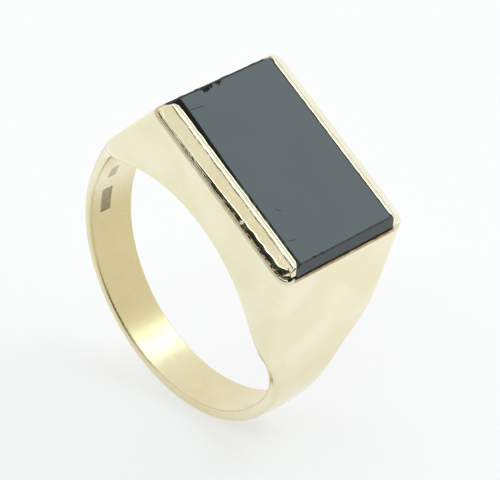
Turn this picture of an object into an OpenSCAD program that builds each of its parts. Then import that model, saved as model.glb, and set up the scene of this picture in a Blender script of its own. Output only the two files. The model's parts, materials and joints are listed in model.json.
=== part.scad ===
// Signet ring: a hollow gold ring body with a flat onyx tablet held between two bezel bars.
// The origin is the centre of the finger hole. +Y runs along the finger, +Z points out
// through the tablet, and X follows the tablet's long side. Millimetres throughout.

/* [Finger hole] */
// Inner diameter of the shank
finger_d = 19; // [18:0.1:20]

/* [Shank] */
// Thickness of the band
band_t = 0.9; // [0.8:0.05:1.3]
// Width of the band at the bottom of the ring
band_w = 3.4; // [2.6:0.1:3.8]
// Width of the band where the shoulders start to flare
flare_w = 3.95; // [3.8:0.05:4.2]
// Height of the start of the flare above the hole's centre
flare_z = -1.5; // [-2.5:0.25:-1]
// Radius of the hollow curve that opens the shoulders
flare_r = 11; // [10:0.5:12]
// Radius of the round curve that closes them into the head
neck_r = 6; // [5:0.5:7]

/* [Head] */
// Length of the head across the finger, at the tablet's seat
head_l = 14.3; // [13.6:0.1:15]
// Width of the head along the finger, over the bars
head_w = 10.7; // [10.3:0.1:11.2]
// Height of the tablet's seat above the hole's centre
seat_z = 13.25; // [12.8:0.05:14]
// Outward lean of the head's side faces, in degrees
side_lean = 5; // [3:0.5:6]
// Inward lean of the end faces above the seat, in degrees
end_lean = 27; // [15:1:35]
// Height of the rails beside the tablet, above the seat
rail_h = 0.2; // [0.15:0.05:0.4]

/* [Hollow under the head] */
// Thickness of the ledge that the tablet rests on
ledge_t = 0.8; // [0.6:0.1:1.2]
// Width of the ledge at the tablet's ends
ledge_end_w = 1.75; // [1.2:0.05:2]
// Width of the ledge along the tablet's sides
ledge_side_w = 1.2; // [0.8:0.05:1.5]
// Thickness of the shoulders around the hollow, measured level
shoulder_t = 1.4; // [1.2:0.1:1.8]
// Width of the hollow along the finger
hollow_w = 7.4; // [6.4:0.1:7.6]

/* [Tablet] */
// Width of the tablet between the bars
tablet_w = 8.6; // [8.2:0.1:8.9]
// Thickness of the tablet
tablet_t = 0.95; // [0.8:0.05:1.5]
// Width of the bevel along the tablet's long edges
bevel_w = 0.3; // [0.3:0.05:0.5]
// Depth of that bevel
bevel_h = 0.22; // [0.15:0.01:0.3]
// Thickness of the cement bed under it
cement_t = 0.1; // [0.05:0.05:0.15]

/* [Bezel bars] */
// How far each bar's lip lies over the tablet's bevel
lip_w = 0.25; // [0.15:0.05:0.25]
// Thickness of the lip at its free edge
lip_t = 0.08; // [0.06:0.01:0.12]
// Height of a bar's outer side
bar_side_h = 0.16; // [0.1:0.02:0.3]
// Plan radius of the bars' outer corners
bar_corner_r = 0.7; // [0.4:0.1:0.9]
// Thickness of the solder seam under a bar
seam_t = 0.05; // [0.04:0.01:0.08]
// How far the seam lies back from the bar's edges
seam_recess = 0.05; // [0.03:0.01:0.1]

/* [Hidden] */
$fn = 96;

gold = "#e6d9a8";
solder = "#8f835f";
onyx = "#1d2024";
cement = "#2b2722";

reach = 40;        // longer than any part, for cuts that run right through
arc_steps = 10;    // points along each curve of the flare

finger_r = finger_d / 2;
outer_r = finger_r + band_t;

// Heights above the seat, from the bottom up
rail_top_z = seat_z + rail_h;
bar_base_z = rail_top_z + seam_t;
tablet_base_z = seat_z + cement_t;
tablet_top_z = tablet_base_z + tablet_t;

// Half-length of everything above the seat, at height z: the ends lean inwards together
function end_x(z) = head_l / 2 - (z - seat_z) * tan(end_lean);

// Where the straight shoulder, drawn from the head's lower corner, touches the shank's circle
head_corner = [head_l / 2, seat_z];
touch_angle = atan2(head_corner.y, head_corner.x) - acos(outer_r / norm(head_corner));
touch_point = outer_r * [cos(touch_angle), sin(touch_angle)];

// The flare is a hollow arc and a round arc that touch each other. The round arc also
// touches the leaning side face, which fixes its centre as a sum of vectors.
side_top = [head_w / 2, rail_top_z];
side_dir = [sin(side_lean), cos(side_lean)];
side_in = [-cos(side_lean), sin(side_lean)];
flare_centre = [flare_w / 2 + flare_r, flare_z];
neck_offset = side_top + side_in * neck_r - flare_centre;
neck_along = side_dir * neck_offset;
neck_drop = neck_along - sqrt(pow(neck_along, 2) - neck_offset * neck_offset + pow(flare_r + neck_r, 2));
neck_centre = side_top + side_in * neck_r - side_dir * neck_drop;
blend = neck_centre - flare_centre;
blend_angle = atan2(blend.y, blend.x);

// Points along an arc, from one angle to another
function arc(centre, r, from, to) = [
    for (i = [0:arc_steps])
        let (a = from + (to - from) * i / arc_steps)
            centre + r * [cos(a), sin(a)]
];

function mirrored(points) = [for (i = [len(points) - 1:-1:0]) [-points[i].x, points[i].y]];

// Outline drawn in X and Z, carried through the given width along Y
module across(width = reach) {
    rotate([90, 0, 0])
        linear_extrude(width, center = true)
            children();
}

// Outline drawn in Y and Z, carried through the given length along X
module along(length = reach) {
    rotate([90, 0, 90])
        linear_extrude(length, center = true)
            children();
}

module side_outline() {
    circle(outer_r);
    polygon([
        [-touch_point.x, touch_point.y], touch_point, head_corner,
        [end_x(rail_top_z), rail_top_z], [-end_x(rail_top_z), rail_top_z],
        [-head_corner.x, head_corner.y]
    ]);
}

module width_outline() {
    right = concat(
        [[band_w / 2, -outer_r]],
        arc(flare_centre, flare_r, 180, blend_angle),
        arc(neck_centre, neck_r, blend_angle - 180, -side_lean),
        [side_top]
    );
    polygon(concat(right, mirrored(right)));
}

// Where the tablet, its cement and the open ends between the rails go
module tablet_channel() {
    translate([-reach / 2, -tablet_w / 2, seat_z])
        cube([reach, tablet_w, reach]);
}

module window() {
    window_l = head_l - 2 * ledge_end_w;
    window_w = tablet_w - 2 * ledge_side_w;
    translate([-window_l / 2, -window_w / 2, finger_r])
        cube([window_l, window_w, reach]);
}

// Its ends run parallel to the shoulders, down into the finger hole
module head_hollow() {
    roof_z = seat_z - ledge_t;
    foot_z = finger_r / 2;
    slope = (touch_point.x - head_corner.x) / (head_corner.y - touch_point.y);
    roof_x = head_corner.x + slope * ledge_t - shoulder_t;
    foot_x = roof_x + slope * (roof_z - foot_z) - shoulder_t / 2;
    across(hollow_w)
        polygon([[-foot_x, foot_z], [foot_x, foot_z], [roof_x, roof_z], [-roof_x, roof_z]]);
}

module ring_body() {
    color(gold)
        difference() {
            intersection() {
                across() side_outline();
                along() width_outline();
            }
            rotate([90, 0, 0])
                cylinder(h = reach, r = finger_r, center = true);
            head_hollow();
            window();
            tablet_channel();
        }
}

module end_outline(base_z, top_z) {
    polygon([
        [-end_x(base_z), base_z], [end_x(base_z), base_z],
        [end_x(top_z), top_z], [-end_x(top_z), top_z]
    ]);
}

// Seen from its end, the tablet has a bevel along each long edge, for the bars' lips to hold
module tablet_profile() {
    side_y = tablet_w / 2;
    flat_y = side_y - bevel_w;
    polygon([
        [-side_y, tablet_base_z], [side_y, tablet_base_z], [side_y, tablet_top_z - bevel_h],
        [flat_y, tablet_top_z], [-flat_y, tablet_top_z], [-side_y, tablet_top_z - bevel_h]
    ]);
}

module onyx_tablet() {
    color(onyx)
        intersection() {
            along() tablet_profile();
            across() end_outline(seat_z, tablet_top_z + tablet_t);
        }
}

// Slab with round corners, as seen from above, that trims the bars and their seams
module rounded_plan(length, width) {
    corner = [length / 2 - bar_corner_r, width / 2 - bar_corner_r];
    quarters = [[1, 1], [-1, 1], [-1, -1], [1, -1]];
    translate([0, 0, seat_z])
        linear_extrude(2 * tablet_t)
            polygon([
                for (i = [0:3])
                    let (centre = [quarters[i].x * corner.x, quarters[i].y * corner.y])
                        each arc(centre, bar_corner_r, 90 * i, 90 * i + 90)
            ]);
}

// The bar on the +Y side. Its flat face slopes down outwards, and its lip lies on the bevel.
module bezel_bar() {
    inner_y = tablet_w / 2;
    outer_y = head_w / 2;
    lip_y = inner_y - lip_w;
    lip_z = tablet_top_z - bevel_h * (bevel_w - lip_w) / bevel_w;
    intersection() {
        along()
            polygon([
                [inner_y, bar_base_z], [outer_y, bar_base_z],
                [outer_y, bar_base_z + bar_side_h], [lip_y, lip_z + lip_t],
                [lip_y, lip_z], [inner_y, tablet_top_z - bevel_h]
            ]);
        across() end_outline(seat_z, tablet_top_z + tablet_t);
        rounded_plan(2 * end_x(bar_base_z), head_w);
    }
}

module back_bezel_bar() {
    color(gold) bezel_bar();
}

module front_bezel_bar() {
    color(gold) mirror([0, 1, 0]) bezel_bar();
}

// The thin line of solder on the +Y side, between the rail and its bar
module solder_seam() {
    seam_l = 2 * (end_x(bar_base_z) - seam_recess);
    inner_y = tablet_w / 2;
    outer_y = head_w / 2 - seam_recess;
    intersection() {
        translate([-seam_l / 2, inner_y, rail_top_z])
            cube([seam_l, outer_y - inner_y, seam_t]);
        rounded_plan(seam_l, 2 * outer_y);
    }
}

module back_solder_seam() {
    color(solder) solder_seam();
}

module front_solder_seam() {
    color(solder) mirror([0, 1, 0]) solder_seam();
}

// A frame of cement on the ledge, open over the window
module stone_cement() {
    margin = 0.05;
    bed_l = 2 * (end_x(tablet_base_z) - margin);
    bed_w = tablet_w - 2 * margin;
    color(cement)
        translate([0, 0, seat_z])
            linear_extrude(cement_t)
                difference() {
                    square([bed_l, bed_w], center = true);
                    square([head_l - 2 * ledge_end_w, tablet_w - 2 * ledge_side_w], center = true);
                }
}

ring_body();
onyx_tablet();
front_bezel_bar();
back_bezel_bar();
front_solder_seam();
back_solder_seam();
stone_cement();
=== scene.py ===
"""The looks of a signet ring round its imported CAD: gold body, black onyx tablet and two bezel bars.

Shapes are written as distance fields in millimetres and turned into fine meshes, so that every edge
has the roundness and the wear of a ring that has been cast, filed, polished and worn.
"""

import json
import math

import bpy
import numpy as np
from mathutils import Matrix, Vector


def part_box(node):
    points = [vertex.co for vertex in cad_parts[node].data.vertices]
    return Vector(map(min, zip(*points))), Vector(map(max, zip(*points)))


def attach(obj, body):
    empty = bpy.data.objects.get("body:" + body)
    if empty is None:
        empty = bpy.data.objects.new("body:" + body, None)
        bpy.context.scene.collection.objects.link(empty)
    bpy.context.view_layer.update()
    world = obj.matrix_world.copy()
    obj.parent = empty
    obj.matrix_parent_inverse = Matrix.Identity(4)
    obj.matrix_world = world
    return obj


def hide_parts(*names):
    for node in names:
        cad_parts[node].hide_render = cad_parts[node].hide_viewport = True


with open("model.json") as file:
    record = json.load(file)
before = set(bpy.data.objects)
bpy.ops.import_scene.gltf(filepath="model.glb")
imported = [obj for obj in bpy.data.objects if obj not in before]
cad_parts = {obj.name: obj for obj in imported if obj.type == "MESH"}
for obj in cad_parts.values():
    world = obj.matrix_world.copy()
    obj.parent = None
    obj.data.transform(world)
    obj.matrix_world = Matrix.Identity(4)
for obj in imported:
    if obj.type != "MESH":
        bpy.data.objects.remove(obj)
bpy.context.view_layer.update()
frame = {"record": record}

MM = 0.001

# ---------------------------------------------------------------- sizes, in millimetres


def cad_box(node):
    """A CAD node's lowest and highest corners in millimetres."""
    low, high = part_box(node)
    return Vector(low) / MM, Vector(high) / MM


BODY_HIGH = cad_box("ring_body")[1]
TABLET_LOW, TABLET_HIGH = cad_box("onyx_tablet")
BAR_LOW, BAR_HIGH = cad_box("back_bezel_bar")
SEAM_LOW, SEAM_HIGH = cad_box("back_solder_seam")
CEMENT_LOW, CEMENT_HIGH = cad_box("stone_cement")

FINGER_R = frame["record"]["mounts"][0]["dims"]["r_mm"]
OUTER_R = BODY_HIGH.x
HEAD_HALF_W = BODY_HIGH.y
RAIL_TOP = BODY_HIGH.z
SEAT_Z = CEMENT_LOW.z
TABLET_HALF_W = TABLET_HIGH.y
TABLET_BASE = TABLET_LOW.z
TABLET_TOP = TABLET_HIGH.z

BAND_HALF_W = 1.7            # at the bottom of the ring
FLARE_HALF_W = 1.975         # where the shoulders start to open
FLARE_Z = -1.5
FLARE_R = 11.0               # hollow curve of the flare
NECK_R = 6.0                 # round curve that closes it
SIDE_LEAN = math.radians(5)  # side faces lean outwards
END_LEAN = math.radians(27)  # end faces above the seat lean inwards
HEAD_HALF_L = 7.15           # at the seat

BAND_CROWN = 0.1             # how far the band's outside curves down to its edges
BAND_EDGE_R = 0.36           # how round the body's edges are: along the band,
HEAD_EDGE_R = 0.65           # up the corners of the head,
END_EDGE_R = 0.1             # across the end faces above the seat,
RAIL_EDGE_R = 0.13           # along the tops of the rails,
BORE_EDGE_R = 0.12           # round the finger hole
HOLLOW_EDGE_R = 0.2          # and round the mouth of the hollow

BEVEL_W, BEVEL_H = 0.3, 0.22
BAR_SIDE_H = 0.16
STRIP_HALF_L = 6.84          # a bar's sloping strip, outside its bezel wall
STRIP_HALF_W = 0.47
STRIP_MID_Y = 4.86
STRIP_END_R = 0.44
STRIP_TOP_Z = BAR_HIGH.z - 0.06  # height of its slope at the tablet's side
LIP_R = 0.2                  # the burnished lip along the stone: how round its crest is,
LIP_Z = BAR_HIGH.z - 0.143   # how high it stands
BEAD_Y = 4.21                # and where it runs
BURR_X = 2.3                 # where a burr stands out on the front bar's outer edge
BURR_R = 0.12
WORN_CORNER = 0.12           # how far the tablet's near bevel is worn down at its -X end
FAR_END_LEAN = math.radians(18)  # the tablet's -X end face stands steeper
END_TOP_X = HEAD_HALF_L - (TABLET_TOP - SEAT_Z) * math.tan(END_LEAN)

LEDGE_T = 0.8
WINDOW_HALF = (5.4, 3.1)
HOLLOW_HALF_W = 3.7
HOLLOW_ROOF_X = 5.97
HOLLOW_FOOT_Z = FINGER_R / 2
HOLLOW_SLOPE = 0.275         # how fast the hollow's ends open downwards

PUNCH_ANGLE = math.radians(-22)  # below the -X axis, inside the band
PUNCH_Y = -0.55
PUNCHES = (                  # place along the band, half length, half width and depth
    (0.0, 1.0, 0.42, 0.05),
    (2.75, 0.55, 0.32, 0.035),
)
SCRATCHES = (                # deep ones in the tablet: two ends and a half width
    ((-5.64, -3.74, TABLET_TOP), (-5.49, -2.66, TABLET_TOP), 0.03),
    ((2.68, -3.0, TABLET_TOP), (2.95, -2.76, TABLET_TOP), 0.035),
    ((4.9, -3.75, TABLET_TOP), (5.05, -3.1, TABLET_TOP), 0.02),
)

EDGE_REACH = 0.08            # how far from an edge its wear, and the dirt and painted shade in corners, reach

# ---------------------------------------------------------------- gold colours: pale, warm and deep

SIDE_GOLD = ((0.93, 0.865, 0.65, 1), (0.9, 0.825, 0.575, 1), (0.7, 0.6, 0.33, 1))
# a darker, warmer copy of the same gold for the front bar: painted shade
SHADED_FRONT_BAR_GOLD = ((0.885, 0.815, 0.585, 1), (0.86, 0.78, 0.53, 1), (0.66, 0.56, 0.32, 1))
# dirt with painted shade, in corners and pits
DIRT_AND_SHADE = (0.16, 0.105, 0.045, 1)
# painted black shade and dark reflection along the front bar's lower edge
PAINTED_EDGE_SHADE = (0.02, 0.022, 0.017, 1)
# painted brown shade below the stone and the bars
PAINTED_UNDER_SHADE = (0.36, 0.23, 0.1, 1)

# ---------------------------------------------------------------- light

FLOOR_TILT = math.radians(32.6)
FLOOR_NORMAL = Vector((-math.sin(FLOOR_TILT), 0, math.cos(FLOOR_TILT)))
# Panels round the ring: direction, which way is up, half width, half height and blur.
# The last three are tangents of the angles that they span.
SOFTBOX = ((-0.25, 0.57, 0.78), (0, -0.8, 0.6), 0.16, 0.34, 0.04)
SOFTBOX_COLOUR = (2.35, 2.8, 2.9, 1)
DARK_ROOM = ((0.28, -0.68, 0.68), FLOOR_NORMAL, 1.4, 0.48, 0.05)
ROOM_DARK = (0.035, 0.04, 0.032, 1)
STRIP_LIGHT = ((-0.229, -0.51, 0.829), FLOOR_NORMAL, 0.35, 0.045, 0.02)
STRIP_COLOUR = (4.0, 4.8, 5.2, 1)
ROOM_WHITE = (0.96, 0.96, 0.95, 1)
ROOM_COOL = (0.98, 1.04, 1.15, 1)
ROOM_WARM = (0.86, 0.85, 0.8, 1)
FLOOR_FAR = (0.985, 0.985, 0.985, 1)
FLOOR_NEAR = (0.94, 0.968, 0.963, 1)
FLOOR_GLOW = 0.62            # share of the floor's light that shadows don't take away


# ---------------------------------------------------------------- distance fields


def round_max(a, b, r):
    """Where two shapes overlap, with a round edge of radius r."""
    corner = np.hypot(np.maximum(a + r, 0), np.maximum(b + r, 0))
    return np.minimum(np.maximum(a, b), -r) + corner


def round_min(a, b, r):
    """Two shapes together, with a fillet of radius r between them."""
    return -round_max(-a, -b, r)


def soft_step(t):
    t = np.clip(t, 0, 1)
    return t * t * (3 - 2 * t)


def ripple(seed, wavelength, *coords):
    """Smooth noise from -1 to 1: a sum of sine waves in random directions."""
    rng = np.random.default_rng(seed)
    total = 0.0
    waves = 7
    for _ in range(waves):
        direction = rng.normal(size=len(coords))
        direction /= np.linalg.norm(direction)
        turn = 2 * math.pi / (wavelength * rng.uniform(0.7, 1.6))
        phase = rng.uniform(0, 2 * math.pi)
        total = total + np.sin(turn * sum(d * c for d, c in zip(direction, coords)) + phase)
    return total / math.sqrt(2 * waves)


def touch_angle():
    """Angle at which the straight shoulder leaves the shank's circle."""
    corner = math.hypot(HEAD_HALF_L, SEAT_Z)
    return math.atan2(SEAT_Z, HEAD_HALF_L) - math.acos(OUTER_R / corner)


TOUCH = touch_angle()


def neck_centre():
    """Centre of the round curve that touches both the hollow curve and the leaning side face."""
    top = Vector((HEAD_HALF_W, RAIL_TOP))
    along = Vector((math.sin(SIDE_LEAN), math.cos(SIDE_LEAN)))
    inwards = Vector((-math.cos(SIDE_LEAN), math.sin(SIDE_LEAN)))
    flare = Vector((FLARE_HALF_W + FLARE_R, FLARE_Z))
    offset = top + inwards * NECK_R - flare
    reach = along.dot(offset)
    drop = reach - math.sqrt(reach**2 - offset.length_squared + (FLARE_R + NECK_R) ** 2)
    return top + inwards * NECK_R - along * drop, flare


NECK, FLARE = neck_centre()
BLEND_Z = (FLARE + (NECK - FLARE) * (FLARE_R / (FLARE_R + NECK_R))).y
NECK_Z = NECK.y - NECK_R * math.sin(SIDE_LEAN)


def half_width(z):
    """Half of the ring's width along the finger at height z, and how fast it grows."""
    start = -OUTER_R
    band = BAND_HALF_W + (FLARE_HALF_W - BAND_HALF_W) * (z - start) / (FLARE_Z - start)
    rise = np.clip(z - FLARE.y, 0, 0.9 * FLARE_R)
    hollow = FLARE.x - np.sqrt(FLARE_R**2 - rise**2)
    fall = np.clip(z - NECK.y, -0.9 * NECK_R, 0.9 * NECK_R)
    closing = NECK.x + np.sqrt(NECK_R**2 - fall**2)
    face = HEAD_HALF_W - (RAIL_TOP - z) * math.tan(SIDE_LEAN)
    places = [z < FLARE_Z, z < BLEND_Z, z < NECK_Z]
    width = np.select(places, [band, hollow, closing], face)
    growth = np.select(
        places,
        [np.zeros_like(z), rise / np.sqrt(FLARE_R**2 - rise**2), -fall / np.sqrt(NECK_R**2 - fall**2)],
        math.tan(SIDE_LEAN),
    )
    return width, growth


def side_outline(x, z):
    """Distance outside the ring's outline as seen along the finger."""
    ax = np.abs(x)
    shoulder = ax * math.cos(TOUCH) + z * math.sin(TOUCH) - OUTER_R
    shank = np.hypot(x, z) - OUTER_R
    above = z * math.cos(TOUCH) > ax * math.sin(TOUCH)
    return np.where(above, shoulder, shank)


def end_face(x, z):
    """Distance outside the leaning end faces above the seat."""
    return (np.abs(x) - HEAD_HALF_L) * math.cos(END_LEAN) + (z - SEAT_Z) * math.sin(END_LEAN)


def punch_depth(x, y, z):
    """Depth of the blank maker's punches struck inside the band: a long one and a smaller one above."""
    along = (np.arctan2(z, -x) - PUNCH_ANGLE) * FINGER_R
    depth = 0.0
    for shift, half_l, half_w, deep in PUNCHES:
        edge = round_max(np.abs(along - shift) - half_l, np.abs(y - PUNCH_Y) - half_w, 0.12)
        depth = depth + deep * soft_step(0.5 - edge / 0.12)
    return np.where(x < 0, depth, 0.0)


def body_field(x, y, z):
    """The casting: shank, shoulders and head with rounded edges, and the finger hole, hollow and window."""
    width, growth = half_width(z)
    side = (np.abs(y) - width) / np.sqrt(1 + growth**2)
    crown = BAND_CROWN * (y / width) ** 2 * soft_step((3 - z) / 5)
    outline = side_outline(x, z) + crown
    edge_r = BAND_EDGE_R + (HEAD_EDGE_R - BAND_EDGE_R) * soft_step((z - 8) / 5)
    shape = round_max(outline, side, edge_r)
    shape = round_max(shape, end_face(x, z), END_EDGE_R)
    shape = round_max(shape, z - RAIL_TOP, RAIL_EDGE_R)
    bore = FINGER_R - np.hypot(x, z) + punch_depth(x, y, z)
    below_roof = SEAT_Z - LEDGE_T - z
    hollow_end = (np.abs(x) - HOLLOW_ROOF_X - HOLLOW_SLOPE * below_roof) / math.hypot(1, HOLLOW_SLOPE)
    hollow = round_max(round_max(hollow_end, np.abs(y) - HOLLOW_HALF_W, 0.8), -below_roof, 0.3)
    hollow = np.maximum(hollow, HOLLOW_FOOT_Z - z)
    window = round_max(np.abs(x) - WINDOW_HALF[0], np.abs(y) - WINDOW_HALF[1], 0.4)
    window = np.maximum(window, FINGER_R - 1 - z)
    inside = round_max(-round_min(hollow, window, 0.15), bore, 0.2)
    mouth_r = HOLLOW_EDGE_R + (BORE_EDGE_R - HOLLOW_EDGE_R) * soft_step((5 - z) / 4)
    shape = round_max(shape, inside, mouth_r)
    channel = np.maximum(np.abs(y) - TABLET_HALF_W, SEAT_Z - z)
    return round_max(shape, -channel, 0.06)


def bitten(shape, x, y, z, bites):
    """The shape with rough bites out of it. Each bite is a centre, a radius and a flattening."""
    rough = 0.3 * ripple(300, 0.22, x, y, z)
    for centre, r, flat in bites:
        away = np.sqrt((x - centre[0]) ** 2 + (y - centre[1]) ** 2 + ((z - centre[2]) / flat) ** 2)
        shape = np.maximum(shape, (r * (1 + rough) - away) * flat)
    return shape


def edge_chips():
    """Places along the tablet's end edges where the stone has flaked."""
    top_x = TABLET_HIGH.x - (TABLET_TOP - TABLET_BASE) * math.tan(END_LEAN)
    chips = [
        ((-top_x - 0.05, -1.75, TABLET_TOP + 0.04), 0.36, 0.45),
        ((-top_x - 0.02, -1.3, TABLET_TOP + 0.05), 0.22, 0.5),
        ((-top_x - 0.04, -0.6, TABLET_TOP + 0.05), 0.28, 0.4),
    ]
    rng = np.random.default_rng(11)
    for _ in range(14):
        top_edge = (top_x + 0.03, rng.uniform(-3.9, 3.4), TABLET_TOP + 0.03)
        chips.append((top_edge, rng.uniform(0.07, 0.14), 0.7))
    for _ in range(14):
        low_edge = (TABLET_HIGH.x + 0.04, rng.uniform(-4.1, 4.1), TABLET_BASE - 0.02)
        chips.append((low_edge, rng.uniform(0.1, 0.2), 0.8))
    return chips


CHIPS = edge_chips()


def tablet_field(x, y, z):
    """The stone: flat top, bevelled long edges, leaning ends, a worn near corner and flaked end edges."""
    bevel = (np.abs(y) - TABLET_HALF_W) * BEVEL_H + (z - TABLET_TOP + BEVEL_H) * BEVEL_W
    bevel = bevel / math.hypot(BEVEL_W, BEVEL_H)
    worn_corner = WORN_CORNER * soft_step((0.6 - x) / 7) * (y < 0)
    top = round_max(z - TABLET_TOP, bevel + worn_corner, 0.03)
    far_x = END_TOP_X + (TABLET_TOP - z) * math.tan(FAR_END_LEAN)
    far_end = (-x - far_x) * math.cos(FAR_END_LEAN)
    shape = round_max(end_face(x, z), top, 0.02 + 0.05 * (x > 0))
    shape = np.maximum(shape, far_end)
    shape = round_max(shape, np.abs(y) - TABLET_HALF_W, 0.05)
    shape = round_max(shape, TABLET_BASE - z, 0.03)
    return bitten(shape, x, y, z, CHIPS)


def bar_field(seed, burred):
    """The bar on the +Y side: a bezel wall burnished over the stone, and a round-ended strip outside.

    A burred bar's outer edge gets rounder and lumpier towards its +X end.
    """
    rng = np.random.default_rng(seed)
    nicks = [(rng.uniform(-6.2, -2.5), rng.uniform(0.05, 0.09)) for _ in range(12 if burred else 5)]
    edge_z = BAR_LOW.z + BAR_SIDE_H
    rise = (STRIP_TOP_Z - edge_z) / (HEAD_HALF_W - BAR_LOW.y)
    under_slope = BEVEL_H / BEVEL_W

    def field(x, y, z):
        # the outer edge is rounder towards the +X end, and round at the noses
        towards_end = soft_step((x + 6) / 13) if burred else 0.2
        lumpy = soft_step((x - 1.8) / 0.7) if burred else 0.0
        outer_r = 0.05 + 0.28 * towards_end * (1 + 0.12 * lumpy * ripple(seed + 5, 1.3, x))
        nose = soft_step((np.abs(x) - STRIP_HALF_L + 0.9) / 0.7)
        edge_r = 0.04 + (outer_r - 0.04) * soft_step((y - 4.45) / 0.45) + nose * (0.2 + 0.1 * towards_end)
        wave = 0.012 * ripple(seed, 2.5, x) + 0.01 * lumpy * ripple(seed + 6, 0.9, x)
        half_w = STRIP_HALF_W - 0.02 + wave
        strip = round_max(np.abs(x) - STRIP_HALF_L, np.abs(y - STRIP_MID_Y) - half_w, STRIP_END_R)
        # the top: a slope down to the outer edge, and the crest of the lip beside the stone
        hammered = 0.004 * ripple(seed + 1, 1.4, x, y)
        plane = edge_z + rise * (HEAD_HALF_W - y)
        crest_y = BEAD_Y + 0.015 * ripple(seed + 2, 1.5, x)
        crest = LIP_Z - (y - crest_y) ** 2 / (2 * LIP_R) + 0.004 * ripple(seed + 3, 1.1, x)
        top = round_min(z - plane, z - crest, 0.09) / math.hypot(1, rise) + hammered
        # the bezel wall under the lip, curled over at its ends
        lip_edge = BEAD_Y - 0.08 + 0.02 * ripple(seed + 4, 1.0, x) - y
        strip = round_max(strip, top, edge_r)
        wall = round_max(np.abs(y - TABLET_HALF_W - 0.1) - 0.32, top, 0.03)
        wall = round_max(wall, lip_edge, 0.05)
        curl = 0.3 * soft_step((BEAD_Y + 0.15 - y) / 0.35)
        wall = round_max(wall, end_face(x, z) + 0.03 + curl + 0.1 * (x < 0), 0.09)
        shape = np.minimum(strip, wall)
        if burred:
            away = np.sqrt((x - BURR_X) ** 2 + (y - HEAD_HALF_W + 0.08) ** 2 + (z - edge_z - 0.02) ** 2)
            shape = round_min(shape, away - BURR_R, 0.04)
        # the underside lies on the tablet's bevel
        under = (TABLET_TOP - BEVEL_H - z - under_slope * (y - TABLET_HALF_W)) / math.hypot(1, under_slope)
        shape = round_max(shape, np.minimum(TABLET_HALF_W - y, under), 0.02)
        for place, r in nicks:
            nick = np.sqrt(((x - place) / 1.5) ** 2 + (y - HEAD_HALF_W) ** 2 + (z - edge_z - 0.02) ** 2) - r
            shape = round_max(shape, -nick, 0.02)
        return round_max(shape, BAR_LOW.z - z, 0.04 + 0.1 * towards_end)

    return field


def seam_field(seed):
    """The line of solder on the +Y side, a little uneven where it has flowed."""

    def field(x, y, z):
        ends = np.abs(x) - SEAM_HIGH.x + 0.12
        outer = y - SEAM_HIGH.y + 0.06 + 0.03 * ripple(seed, 0.8, x)
        shape = round_max(ends, outer, 0.5)
        shape = np.maximum(shape, TABLET_HALF_W - y)
        middle = (SEAM_LOW.z + SEAM_HIGH.z) / 2
        half_t = (SEAM_HIGH.z - SEAM_LOW.z) / 2
        return np.maximum(shape, np.abs(z - middle) - half_t - 0.01)

    return field


def cement_field(x, y, z):
    """The cement bed: a thin frame with a slightly ragged outer edge, open over the window."""
    squeezed = 0.02 + 0.08 * (x < 0)
    ends = np.abs(x) - CEMENT_HIGH.x - squeezed + 0.04 * ripple(21, 0.9, x, y)
    outer = np.maximum(ends, np.abs(y) - CEMENT_HIGH.y)
    window = np.maximum(np.abs(x) - WINDOW_HALF[0], np.abs(y) - WINDOW_HALF[1])
    middle = (CEMENT_LOW.z + CEMENT_HIGH.z) / 2
    shape = round_max(outer, -window, 0.05)
    return round_max(shape, np.abs(z - middle) - (CEMENT_HIGH.z - CEMENT_LOW.z) / 2, 0.03)


# ---------------------------------------------------------------- fields to meshes


def gradient(field, points, step):
    """Direction in which the field grows, by central differences."""
    parts = []
    for axis in range(3):
        shift = np.zeros(3)
        shift[axis] = step
        ahead = field(*(points + shift).T)
        behind = field(*(points - shift).T)
        parts.append((ahead - behind) / (2 * step))
    return np.stack(parts, axis=1)


def onto_surface(field, points, cell, rounds=3):
    """Moves points along the gradient until they lie where the field is zero."""
    for _ in range(rounds):
        slope = gradient(field, points, cell * 0.05)
        size = np.maximum((slope**2).sum(1), 0.05)
        move = slope * (field(*points.T) / size)[:, None]
        length = np.linalg.norm(move, axis=1, keepdims=True)
        points = points - move * np.minimum(1, cell * 0.5 / np.maximum(length, 1e-9))
    return points


def even_out(points, faces, field, cell, rounds):
    """Spreads the points evenly over the surface without leaving it."""
    ends = np.concatenate([faces[:, [0, 1]], faces[:, [1, 2]], faces[:, [2, 3]], faces[:, [3, 0]]])
    count = np.bincount(ends[:, 0], minlength=len(points))[:, None]
    for _ in range(rounds):
        sums = [np.bincount(ends[:, 0], points[ends[:, 1], k], len(points)) for k in range(3)]
        mean = np.stack(sums, axis=1) / count
        points = onto_surface(field, points * 0.4 + mean * 0.6, cell, rounds=1)
    return points


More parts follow.
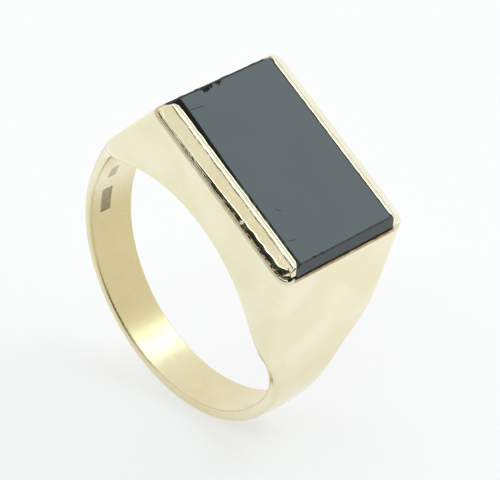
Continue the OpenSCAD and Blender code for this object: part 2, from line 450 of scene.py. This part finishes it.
def surface_net(field, low, high, cell):
    """Points and four-sided faces of the field's zero surface: one point in each cell that it crosses."""
    axes = [np.arange(a - 1.6 * cell, b + 2.6 * cell, cell) for a, b in zip(low, high)]
    values = field(*np.meshgrid(*axes, indexing="ij"))
    inside = values < 0
    shape = [n - 1 for n in values.shape]

    def corner(i, j, k, source):
        return source[i : i + shape[0], j : j + shape[1], k : k + shape[2]]

    corners = [(i, j, k) for i in (0, 1) for j in (0, 1) for k in (0, 1)]
    filled = sum(corner(*c, inside).astype(np.int8) for c in corners)
    crossed = (filled > 0) & (filled < 8)
    number = np.full(shape, -1, np.int64)
    number[crossed] = np.arange(crossed.sum())
    at_corner = {c: corner(*c, values)[crossed] for c in corners}
    total = np.zeros((crossed.sum(), 3))
    count = np.zeros(crossed.sum())
    for a in corners:
        for axis in range(3):
            if a[axis]:
                continue
            b = tuple(1 if n == axis else a[n] for n in range(3))
            change = (at_corner[a] < 0) != (at_corner[b] < 0)
            share = at_corner[a] / np.where(change, at_corner[a] - at_corner[b], 1)
            place = np.array(a, float) + np.outer(share, np.eye(3)[axis])
            total += np.where(change[:, None], place, 0)
            count += change
    origin = np.array([axis[0] for axis in axes])
    points = origin + (np.argwhere(crossed) + total / count[:, None]) * cell

    faces = []
    for axis in range(3):
        u, v = (axis + 1) % 3, (axis + 2) % 3
        start = [slice(1, -1)] * 3
        start[axis] = slice(0, -1)
        ahead = list(start)
        ahead[axis] = slice(1, None)
        here, there = inside[tuple(start)], inside[tuple(ahead)]
        change = here != there
        base = np.argwhere(change)
        for n in range(3):
            base[:, n] += 0 if n == axis else 1
        quad = []
        for du, dv in ((-1, -1), (0, -1), (0, 0), (-1, 0)):
            cells = base.copy()
            cells[:, u] += du
            cells[:, v] += dv
            quad.append(number[cells[:, 0], cells[:, 1], cells[:, 2]])
        quad = np.stack(quad, axis=1)
        backwards = ~here[change]
        quad[backwards] = quad[backwards][:, ::-1]
        faces.append(quad)
    return points, np.concatenate(faces)


def bend(field, points, step):
    """How sharply the surface turns, in 1/mm: positive on an outer edge and negative in a corner."""
    total = -6 * field(*points.T)
    for axis in range(3):
        shift = np.zeros(3)
        shift[axis] = step
        total = total + field(*(points + shift).T) + field(*(points - shift).T)
    return total / step**2


def struck_share(points):
    """1 in a punch mark inside the band and 0 elsewhere."""
    x, y, z = points.T
    inside = np.hypot(x, z) < FINGER_R + 0.2
    return np.clip(punch_depth(x, y, z) / 0.05, 0, 1) * inside * (np.abs(y) < BAND_HALF_W - 0.4)


def field_piece(name, field, cell, material, node):
    """A finished piece: the field's surface as a smooth mesh that stands for a CAD node."""
    low, high = cad_box(node)
    points, faces = surface_net(field, low, high, cell)
    points = onto_surface(field, points, cell)
    points = onto_surface(field, even_out(points, faces, field, cell, rounds=4), cell, rounds=2)
    normals = gradient(field, points, cell * 0.05)
    normals /= np.maximum(np.linalg.norm(normals, axis=1, keepdims=True), 1e-9)
    mesh = bpy.data.meshes.new(name)
    mesh.vertices.add(len(points))
    mesh.vertices.foreach_set("co", (points * MM).astype(np.float32).ravel())
    mesh.loops.add(faces.size)
    mesh.loops.foreach_set("vertex_index", faces.astype(np.int32).ravel())
    mesh.polygons.add(len(faces))
    mesh.polygons.foreach_set("loop_start", np.arange(0, faces.size, 4, dtype=np.int32))
    mesh.update(calc_edges=True)
    mesh.validate()
    mesh.shade_smooth()
    mesh.normals_split_custom_set_from_vertices(normals.astype(np.float32))
    sharpness = bend(field, points, EDGE_REACH) * EDGE_REACH
    for label, amount in (("edge", sharpness), ("corner", -sharpness), ("struck", struck_share(points))):
        layer = mesh.attributes.new(label, "FLOAT", "POINT")
        layer.data.foreach_set("value", np.clip(amount, 0, 1).astype(np.float32))
    mesh.materials.append(material)
    piece = bpy.data.objects.new(name, mesh)
    bpy.context.scene.collection.objects.link(piece)
    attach(piece, "root")
    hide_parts(node)
    return piece


# ---------------------------------------------------------------- materials


class Graph:
    """A short way to write a node tree: each call adds a node and returns the socket that it makes."""

    def __init__(self, owner):
        owner.use_nodes = True
        self.nodes = owner.node_tree.nodes
        self.links = owner.node_tree.links

    def feed(self, socket, value):
        if isinstance(value, bpy.types.NodeSocket):
            self.links.new(value, socket)
        elif value is not None:
            socket.default_value = value

    def node(self, kind, *values, settings=None, **named):
        node = self.nodes.new("ShaderNode" + kind)
        for name, value in (settings or {}).items():
            setattr(node, name, value)
        for socket, value in zip(node.inputs, values):
            self.feed(socket, value)
        for name, value in named.items():
            self.feed(node.inputs[name.replace("_", " ")], value)
        return node

    def math(self, operation, *values):
        return self.node("Math", *values, settings={"operation": operation}).outputs[0]

    def vector(self, operation, *values):
        node = self.node("VectorMath", *values, settings={"operation": operation})
        number = operation in ("DOT_PRODUCT", "LENGTH", "DISTANCE")
        return node.outputs["Value" if number else "Vector"]

    def ease(self, value, low, high, at_low=0.0, at_high=1.0):
        """Goes smoothly from at_low to at_high while the value goes from low to high."""
        smooth = {"interpolation_type": "SMOOTHSTEP"}
        return self.node("MapRange", value, low, high, at_low, at_high, settings=smooth).outputs[0]

    def blend(self, share, a, b):
        """A colour between a and b."""
        node = self.nodes.new("ShaderNodeMix")
        node.data_type = "RGBA"
        for place, value in ((0, share), (6, a), (7, b)):
            self.feed(node.inputs[place], value)
        return node.outputs[2]

    def noise(self, place, scale, detail=3.0):
        return self.node("TexNoise", Vector=place, Scale=scale, Detail=detail).outputs[0]

    def speckle(self, place, scale, radius):
        """Round spots of differing size: 1 in the middle of a spot and 0 outside."""
        cells = self.node("TexVoronoi", Vector=place, Scale=scale)
        size = self.node("SeparateColor", cells.outputs["Color"])
        reach = self.math("MULTIPLY", self.ease(size.outputs[0], 0.55, 1.0), radius)
        return self.ease(self.math("SUBTRACT", reach, cells.outputs["Distance"]), 0.0, radius * 0.6)

    def streaks(self, place, turn, spacing, length, share):
        """Fine straight scratches: 1 on a scratch and 0 elsewhere."""
        stretched = self.node("Mapping", place, Rotation=turn, Scale=(1 / length, 1 / spacing, 1 / spacing))
        waves = self.noise(stretched.outputs[0], 1.0, detail=1.0)
        return self.ease(waves, 0.5 + share, 0.56 + share)

    def millimetres(self):
        """The place on the piece, in millimetres of the shared frame."""
        place = self.node("TexCoord").outputs["Object"]
        return self.vector("MULTIPLY", place, (1 / MM,) * 3)

    def attribute(self, name):
        return self.node("Attribute", settings={"attribute_name": name}).outputs["Fac"]

    def segment(self, place, start, end, half_w):
        """1 along a straight line between two points, 0 away from it."""
        start, end = Vector(start), Vector(end)
        along = (end - start) / (end - start).length_squared
        offset = self.vector("SUBTRACT", place, tuple(start))
        share = self.node("Clamp", self.vector("DOT_PRODUCT", offset, tuple(along))).outputs[0]
        nearest = self.vector("SCALE", tuple(end - start))
        self.feed(nearest.node.inputs["Scale"], share)
        away = self.vector("LENGTH", self.vector("SUBTRACT", offset, nearest))
        return self.ease(away, half_w, half_w * 0.3)

    def total(self, *values):
        result = values[0]
        for value in values[1:]:
            result = self.math("ADD", result, value)
        return result

    def times(self, value, factor):
        return self.math("MULTIPLY", value, factor)


def new_material(name):
    material = bpy.data.materials.new(name)
    graph = Graph(material)
    return material, graph, graph.nodes["Principled BSDF"].inputs


def gold_material(name, pale, warm, deep):
    """Polished yellow gold with hairline scratches and casting pits; grime and painted shade in its
    corners, painted brown shade below the stone and the bars, painted shade on the outside of the band, and
    a painted black line of shade and dark reflection along the front bar's lower edge.
    """
    material, graph, shader = new_material(name)
    place = graph.millimetres()
    shade = graph.ease(graph.noise(place, 0.22, detail=2.0), 0.38, 0.62)
    colour = graph.blend(shade, pale, warm)
    x, y, z = graph.node("SeparateXYZ", place).outputs
    # the bore is a deeper gold than the polished faces, most towards its low -X side, and the gold deepens
    # towards the bottom of the ring
    radius = graph.math("SQRT", graph.total(graph.math("POWER", x, 2.0), graph.math("POWER", z, 2.0)))
    by_bore = graph.ease(radius, FINGER_R + 0.3, FINGER_R + 0.08)
    bore = graph.times(by_bore, graph.ease(z, 6.5, 4.5))
    toward_low_x = graph.math("DIVIDE", graph.vector("DOT_PRODUCT", place, (-0.6, 0, -0.8)), FINGER_R)
    colour = graph.blend(graph.times(bore, graph.ease(toward_low_x, 0.7, 0.95, 0.12, 1.0)), colour, deep)
    colour = graph.blend(graph.ease(z, 0.0, -8.0, 0.0, 0.45), colour, deep)
    # painted shade: the outside of the band is deepened, most on its -X side, in place of the darker
    # reflection it shows there
    outside = graph.times(graph.ease(radius, OUTER_R - 0.45, OUTER_R - 0.1), graph.ease(z, 6.0, 2.0))
    colour = graph.blend(graph.times(outside, graph.ease(x, 4.0, -4.0, 0.2, 0.65)), colour, deep)
    # painted brown shade on the gold below the stone and the bars, paler at the front bar's nose
    joint = graph.ease(z, SEAT_Z - 0.26, SEAT_Z - 0.04)
    below_bar = graph.ease(z, RAIL_TOP + 0.06, RAIL_TOP)
    across = graph.math("ABSOLUTE", y)
    by_stone = graph.ease(across, TABLET_HALF_W + 0.3, TABLET_HALF_W, 0.6, 1.0)
    patchy = graph.ease(graph.noise(place, 1.7), 0.2, 0.6, 0.6, 1.0)
    by_nose = graph.ease(x, 5.8, 6.8)
    paler_at_nose = graph.ease(graph.times(by_nose, graph.ease(by_stone, 1.0, 0.7)), 0.0, 1.0, 1.0, 0.4)
    painted_under_shade = graph.times(graph.times(joint, below_bar), graph.times(graph.times(by_stone, patchy), paler_at_nose))
    colour = graph.blend(painted_under_shade, colour, PAINTED_UNDER_SHADE)
    mottled = graph.ease(graph.noise(place, 2.6, detail=4.0), 0.45, 0.8, 0.0, 0.1)
    colour = graph.blend(mottled, colour, deep)
    # a black line painted along the front bar's lower edge, wider towards +X: painted shade in the gap and
    # the dark reflection on its round edge
    front_side = graph.ease(y, 1.0, -1.0)
    widening = graph.times(front_side, graph.ease(x, -7.4, 6.8, 0.032, 0.1))
    off_seam = graph.math("ABSOLUTE", graph.math("SUBTRACT", z, SEAM_HIGH.z + 0.035))
    ragged = graph.total(off_seam, graph.ease(graph.noise(place, 2.4, detail=4.0), 0.3, 0.75, -0.04, 0.04))
    painted_edge_shade = graph.ease(graph.math("SUBTRACT", widening, ragged), -0.01, 0.01)
    # dirt with painted shade in corners, and casting pits and struck marks
    corner = graph.attribute("corner")
    grime = graph.noise(place, 5.0, detail=4.0)
    dirt_and_shade = graph.times(graph.ease(corner, 0.12, 0.8), graph.ease(grime, 0.25, 0.6, 0.35, 1.0))
    pit = graph.speckle(place, 0.9, 0.06)
    fine_pit = graph.speckle(place, 3.1, 0.1)
    dark = graph.math("MAXIMUM", graph.times(dirt_and_shade, 0.85), graph.times(pit, 0.6))
    colour = graph.blend(dark, colour, DIRT_AND_SHADE)
    colour = graph.blend(painted_edge_shade, colour, PAINTED_EDGE_SHADE)
    uneven = graph.ease(graph.noise(place, 3.2, detail=4.0), 0.3, 0.6, 0.5, 0.65)
    struck = graph.times(graph.attribute("struck"), uneven)
    colour = graph.blend(struck, colour, (0.17, 0.14, 0.11, 1))
    graph.feed(shader["Base Color"], colour)
    shader["Metallic"].default_value = 1.0
    along = graph.streaks(place, (0.2, 0.5, 0.3), 0.05, 1.6, 0.18)
    crossing = graph.streaks(place, (0.9, 0.1, 1.4), 0.045, 1.1, 0.2)
    scratch = graph.math("MAXIMUM", along, crossing)
    cloud = graph.ease(graph.noise(place, 0.9, detail=5.0), 0.3, 0.75, 0.1, 0.2)
    rough = graph.total(
        cloud,
        graph.times(scratch, 0.1),
        graph.times(dirt_and_shade, 0.4),
        graph.times(bore, 0.1),
        graph.times(painted_edge_shade, 0.2),
        graph.times(struck, 0.3),
        graph.ease(z, 2.0, -6.0, 0.0, 0.05),
    )
    graph.feed(shader["Roughness"], rough)
    orange_peel = graph.noise(place, 2.2, detail=3.0)
    height = graph.total(
        graph.times(orange_peel, 0.2),
        graph.times(scratch, -0.06),
        graph.times(pit, -1.6),
        graph.times(fine_pit, -0.35),
        graph.times(grime, 0.06),
    )
    bump = graph.node("Bump", Strength=1.0, Distance=0.012 * MM, Height=height)
    graph.feed(shader["Normal"], bump.outputs[0])
    return material


def onyx_material():
    """Polished black stone: faint clouds, scratches, a few pits and specks, and dull broken edges."""
    material, graph, shader = new_material("polished_onyx")
    place = graph.millimetres()
    cloud = graph.ease(graph.noise(place, 0.35, detail=5.0), 0.3, 0.75)
    colour = graph.blend(cloud, (0.011, 0.014, 0.015, 1), (0.016, 0.02, 0.021, 1))
    dust = graph.speckle(place, 2.2, 0.05)
    colour = graph.blend(graph.times(dust, 0.5), colour, (0.22, 0.2, 0.17, 1))
    corner = graph.attribute("corner")
    edge = graph.attribute("edge")
    broken = graph.times(graph.ease(edge, 0.25, 0.8), graph.ease(graph.noise(place, 6.0), 0.4, 0.65))
    colour = graph.blend(graph.times(broken, 0.3), colour, (0.09, 0.095, 0.1, 1))
    x, _, z = graph.node("SeparateXYZ", place).outputs
    depth = graph.math("SUBTRACT", TABLET_TOP, z)
    below_top = graph.ease(depth, 0.006, 0.02)
    # the near end lets a little light through, and a black line of cement shows at its foot
    stone_t = TABLET_TOP - TABLET_BASE
    ragged = graph.total(depth, graph.ease(graph.noise(place, 3.0, detail=4.0), 0.3, 0.7, -0.03, 0.03))
    foot = graph.ease(ragged, stone_t - 0.21, stone_t - 0.15)
    off_edge = graph.ease(x, END_TOP_X - 0.02, END_TOP_X + 0.04)
    near_end = graph.times(graph.ease(depth, 0.02, 0.06), off_edge)
    colour = graph.blend(near_end, colour, (0.022, 0.033, 0.036, 1))
    colour = graph.blend(foot, colour, (0.006, 0.005, 0.005, 1))
    graph.feed(shader["Base Color"], colour)
    scratch = graph.math(
        "MAXIMUM",
        graph.streaks(place, (0, 0, 0.35), 0.03, 1.8, 0.17),
        graph.streaks(place, (0, 0, 1.9), 0.035, 1.3, 0.2),
    )
    beside_bars = graph.ease(x, END_TOP_X + 0.02, END_TOP_X - 0.1)
    rim = graph.times(graph.times(below_top, beside_bars), graph.ease(ragged, 0.07, 0.035))
    far_end = graph.times(below_top, graph.ease(x, 0.6, -0.6))
    dull = graph.math("MAXIMUM", graph.math("MAXIMUM", rim, foot), far_end)
    for start, end, half_w in SCRATCHES:
        dull = graph.math("MAXIMUM", dull, graph.segment(place, start, end, half_w))
    graph.feed(shader["Specular IOR Level"], graph.ease(dull, 0.0, 1.0, 0.5, 0.06))
    flaw = graph.math("MAXIMUM", graph.math("MAXIMUM", graph.ease(corner, 0.1, 0.5), broken), dull)
    smooth = graph.ease(graph.noise(place, 0.8, detail=4.0), 0.3, 0.7, 0.02, 0.06)
    graph.feed(shader["Roughness"], graph.total(smooth, graph.times(scratch, 0.07), graph.times(flaw, 0.3)))
    shader["IOR"].default_value = 1.54
    pit = graph.speckle(place, 1.3, 0.07)
    height = graph.total(graph.times(scratch, -0.05), graph.times(pit, -0.8), graph.times(dust, 0.2))
    bump = graph.node("Bump", Strength=1.0, Distance=0.01 * MM, Height=height)
    graph.feed(shader["Normal"], bump.outputs[0])
    return material


def solder_material():
    """The solder line: darker metal than the gold, with tarnish and polishing grime."""
    material, graph, shader = new_material("dull_solder")
    place = graph.millimetres()
    tarnish = graph.ease(graph.noise(place, 3.5, detail=5.0), 0.35, 0.65)
    colour = graph.blend(tarnish, (0.2, 0.14, 0.07, 1), (0.5, 0.4, 0.22, 1))
    graph.feed(shader["Base Color"], colour)
    shader["Metallic"].default_value = 1.0
    graph.feed(shader["Roughness"], graph.ease(tarnish, 0.0, 1.0, 0.65, 0.35))
    bump = graph.node("Bump", Strength=1.0, Distance=0.01 * MM, Height=graph.noise(place, 9.0, detail=4.0))
    graph.feed(shader["Normal"], bump.outputs[0])
    return material


def cement_material():
    """Dark setting cement: matt and grainy, with paler dust in it."""
    material, graph, shader = new_material("stone_cement")
    place = graph.millimetres()
    grain = graph.noise(place, 6.0, detail=6.0)
    dust = graph.ease(graph.noise(place, 2.0, detail=3.0), 0.5, 0.75, 0.0, 0.5)
    colour = graph.blend(dust, (0.028, 0.024, 0.02, 1), (0.12, 0.1, 0.075, 1))
    graph.feed(shader["Base Color"], colour)
    graph.feed(shader["Roughness"], graph.ease(grain, 0.3, 0.7, 0.55, 0.9))
    bump = graph.node("Bump", Strength=1.0, Distance=0.02 * MM, Height=grain)
    graph.feed(shader["Normal"], bump.outputs[0])
    return material


# ---------------------------------------------------------------- camera and stage


def add_camera():
    """The main view: from the front right, high above, with the ring leaning to the right."""
    azimuth, elevation, lean = math.radians(21.5), math.radians(51.4), math.radians(36.3)
    distance = 182.2 * MM
    target = Vector((0.17, 2.99, 2.17)) * MM
    back = Vector((
        math.sin(azimuth) * math.cos(elevation),
        -math.cos(azimuth) * math.cos(elevation),
        math.sin(elevation),
    ))
    camera = bpy.data.objects.new("camera", bpy.data.cameras.new("camera"))
    camera.data.lens = 195.2
    camera.data.clip_start = 0.01
    camera.data.clip_end = 10
    level = back.to_track_quat("Z", "Y").to_matrix()
    rolled = level @ Matrix.Rotation(lean, 3, "Z")
    camera.matrix_world = Matrix.LocRotScale(target + back * distance, rolled, None)
    bpy.context.scene.collection.objects.link(camera)
    bpy.context.scene.camera = camera
    return back


def add_floor():
    """A pale floor that the tilted ring rests on. It shows from above only."""
    half = 0.6
    mesh = bpy.data.meshes.new("floor")
    corners = [(-half, -half, 0), (half, -half, 0), (half, half, 0), (-half, half, 0)]
    mesh.from_pydata(corners, [], [(0, 1, 2, 3)])
    material, graph, shader = new_material("pale_floor")
    place = graph.millimetres()
    near = graph.node("SeparateXYZ", place).outputs[1]
    grain = graph.noise(place, 0.12, detail=3.0)
    cool = graph.total(graph.ease(near, 10.0, -22.0), graph.times(graph.math("SUBTRACT", grain, 0.5), 0.2))
    tint = graph.blend(cool, FLOOR_FAR, FLOOR_NEAR)
    graph.feed(shader["Base Color"], graph.blend(FLOOR_GLOW, tint, (0, 0, 0, 1)))
    graph.feed(shader["Emission Color"], tint)
    shader["Emission Strength"].default_value = FLOOR_GLOW
    shader["Roughness"].default_value = 0.75
    shader["Specular IOR Level"].default_value = 0.2
    clear = graph.node("BsdfTransparent").outputs[0]
    under = graph.node("NewGeometry").outputs["Backfacing"]
    one_sided = graph.node("MixShader", under, graph.nodes["Principled BSDF"].outputs[0], clear)
    graph.feed(graph.nodes["Material Output"].inputs["Surface"], one_sided.outputs[0])
    mesh.materials.append(material)
    floor = bpy.data.objects.new("floor", mesh)
    turn = Matrix.Rotation(-FLOOR_TILT, 3, "Y")
    floor.matrix_world = Matrix.LocRotScale(-FLOOR_NORMAL * (OUTER_R + 0.02) * MM, turn, None)
    bpy.context.scene.collection.objects.link(floor)


def panel(graph, towards, middle, top, half_w, half_h, blur):
    """1 inside a soft-edged rectangle of the surroundings, 0 outside."""
    centre = Vector(middle).normalized()
    side = centre.cross(top).normalized()
    up = side.cross(centre)
    ahead = graph.vector("DOT_PRODUCT", towards, tuple(centre))
    mask = graph.math("GREATER_THAN", ahead, 0.1)
    for axis, half in ((side, half_w), (up, half_h)):
        offset = graph.math("DIVIDE", graph.vector("DOT_PRODUCT", towards, tuple(axis)), ahead)
        mask = graph.times(mask, graph.ease(graph.math("ABSOLUTE", offset), half + blur, half - blur))
    return mask


def add_world(camera_direction):
    """A white studio: a softbox behind the ring, and in front of it a dark room with a narrow strip light.

    The walls are warmer round the camera and cooler behind the ring. The camera's direction is a fixed one.
    """
    world = bpy.data.worlds.new("studio")
    graph = Graph(world)
    towards = graph.node("TexCoord").outputs["Generated"]
    near_camera = graph.vector("DOT_PRODUCT", towards, tuple(camera_direction))
    warm = graph.ease(near_camera, math.cos(math.radians(55)), math.cos(math.radians(28)))
    cool = graph.ease(graph.vector("DOT_PRODUCT", towards, (0, 1, 0)), 0.55, 0.95)
    wall = graph.blend(cool, ROOM_WHITE, ROOM_COOL)
    wall = graph.blend(warm, wall, ROOM_WARM)
    wall = graph.blend(panel(graph, towards, *DARK_ROOM), wall, ROOM_DARK)
    wall = graph.blend(panel(graph, towards, *STRIP_LIGHT), wall, STRIP_COLOUR)
    wall = graph.blend(panel(graph, towards, *SOFTBOX), wall, SOFTBOX_COLOUR)
    graph.feed(graph.nodes["Background"].inputs["Color"], wall)
    graph.nodes["Background"].inputs["Strength"].default_value = 1.0
    bpy.context.scene.world = world


# ---------------------------------------------------------------- build

side_gold = gold_material("polished_gold", *SIDE_GOLD)
# the front bar gets a darker copy of the gold, as painted shade
shaded_front_bar_gold = gold_material("shaded_front_bar_gold", *SHADED_FRONT_BAR_GOLD)
onyx = onyx_material()
solder = solder_material()
cement = cement_material()


def front(field):
    """The same field on the -Y side."""
    return lambda x, y, z: field(x, -y, z)


coarse = 1
back_bar = bar_field(seed=41, burred=False)
front_bar = front(bar_field(seed=51, burred=True))
seam = seam_field(seed=61)
PIECES = (
    ("gold_ring_body", body_field, 0.1, side_gold, "ring_body", "gold_polished"),
    ("onyx_stone", tablet_field, 0.05, onyx, "onyx_tablet", "onyx_polished"),
    ("back_bar", back_bar, 0.04, side_gold, "back_bezel_bar", "gold_polished"),
    ("front_bar", front_bar, 0.035, shaded_front_bar_gold, "front_bezel_bar", "gold_polished"),
    ("back_seam", seam, 0.035, solder, "back_solder_seam", "solder"),
    ("front_seam", front(seam), 0.035, solder, "front_solder_seam", "solder"),
    ("cement_bed", cement_field, 0.05, cement, "stone_cement", "cement"),
)
for name, field, cell, material, node, slot in PIECES:
    field_piece(name, field, cell * coarse, material, node)

camera_direction = add_camera()
add_floor()
add_world(camera_direction)
bpy.context.scene.view_settings.view_transform = "Standard"
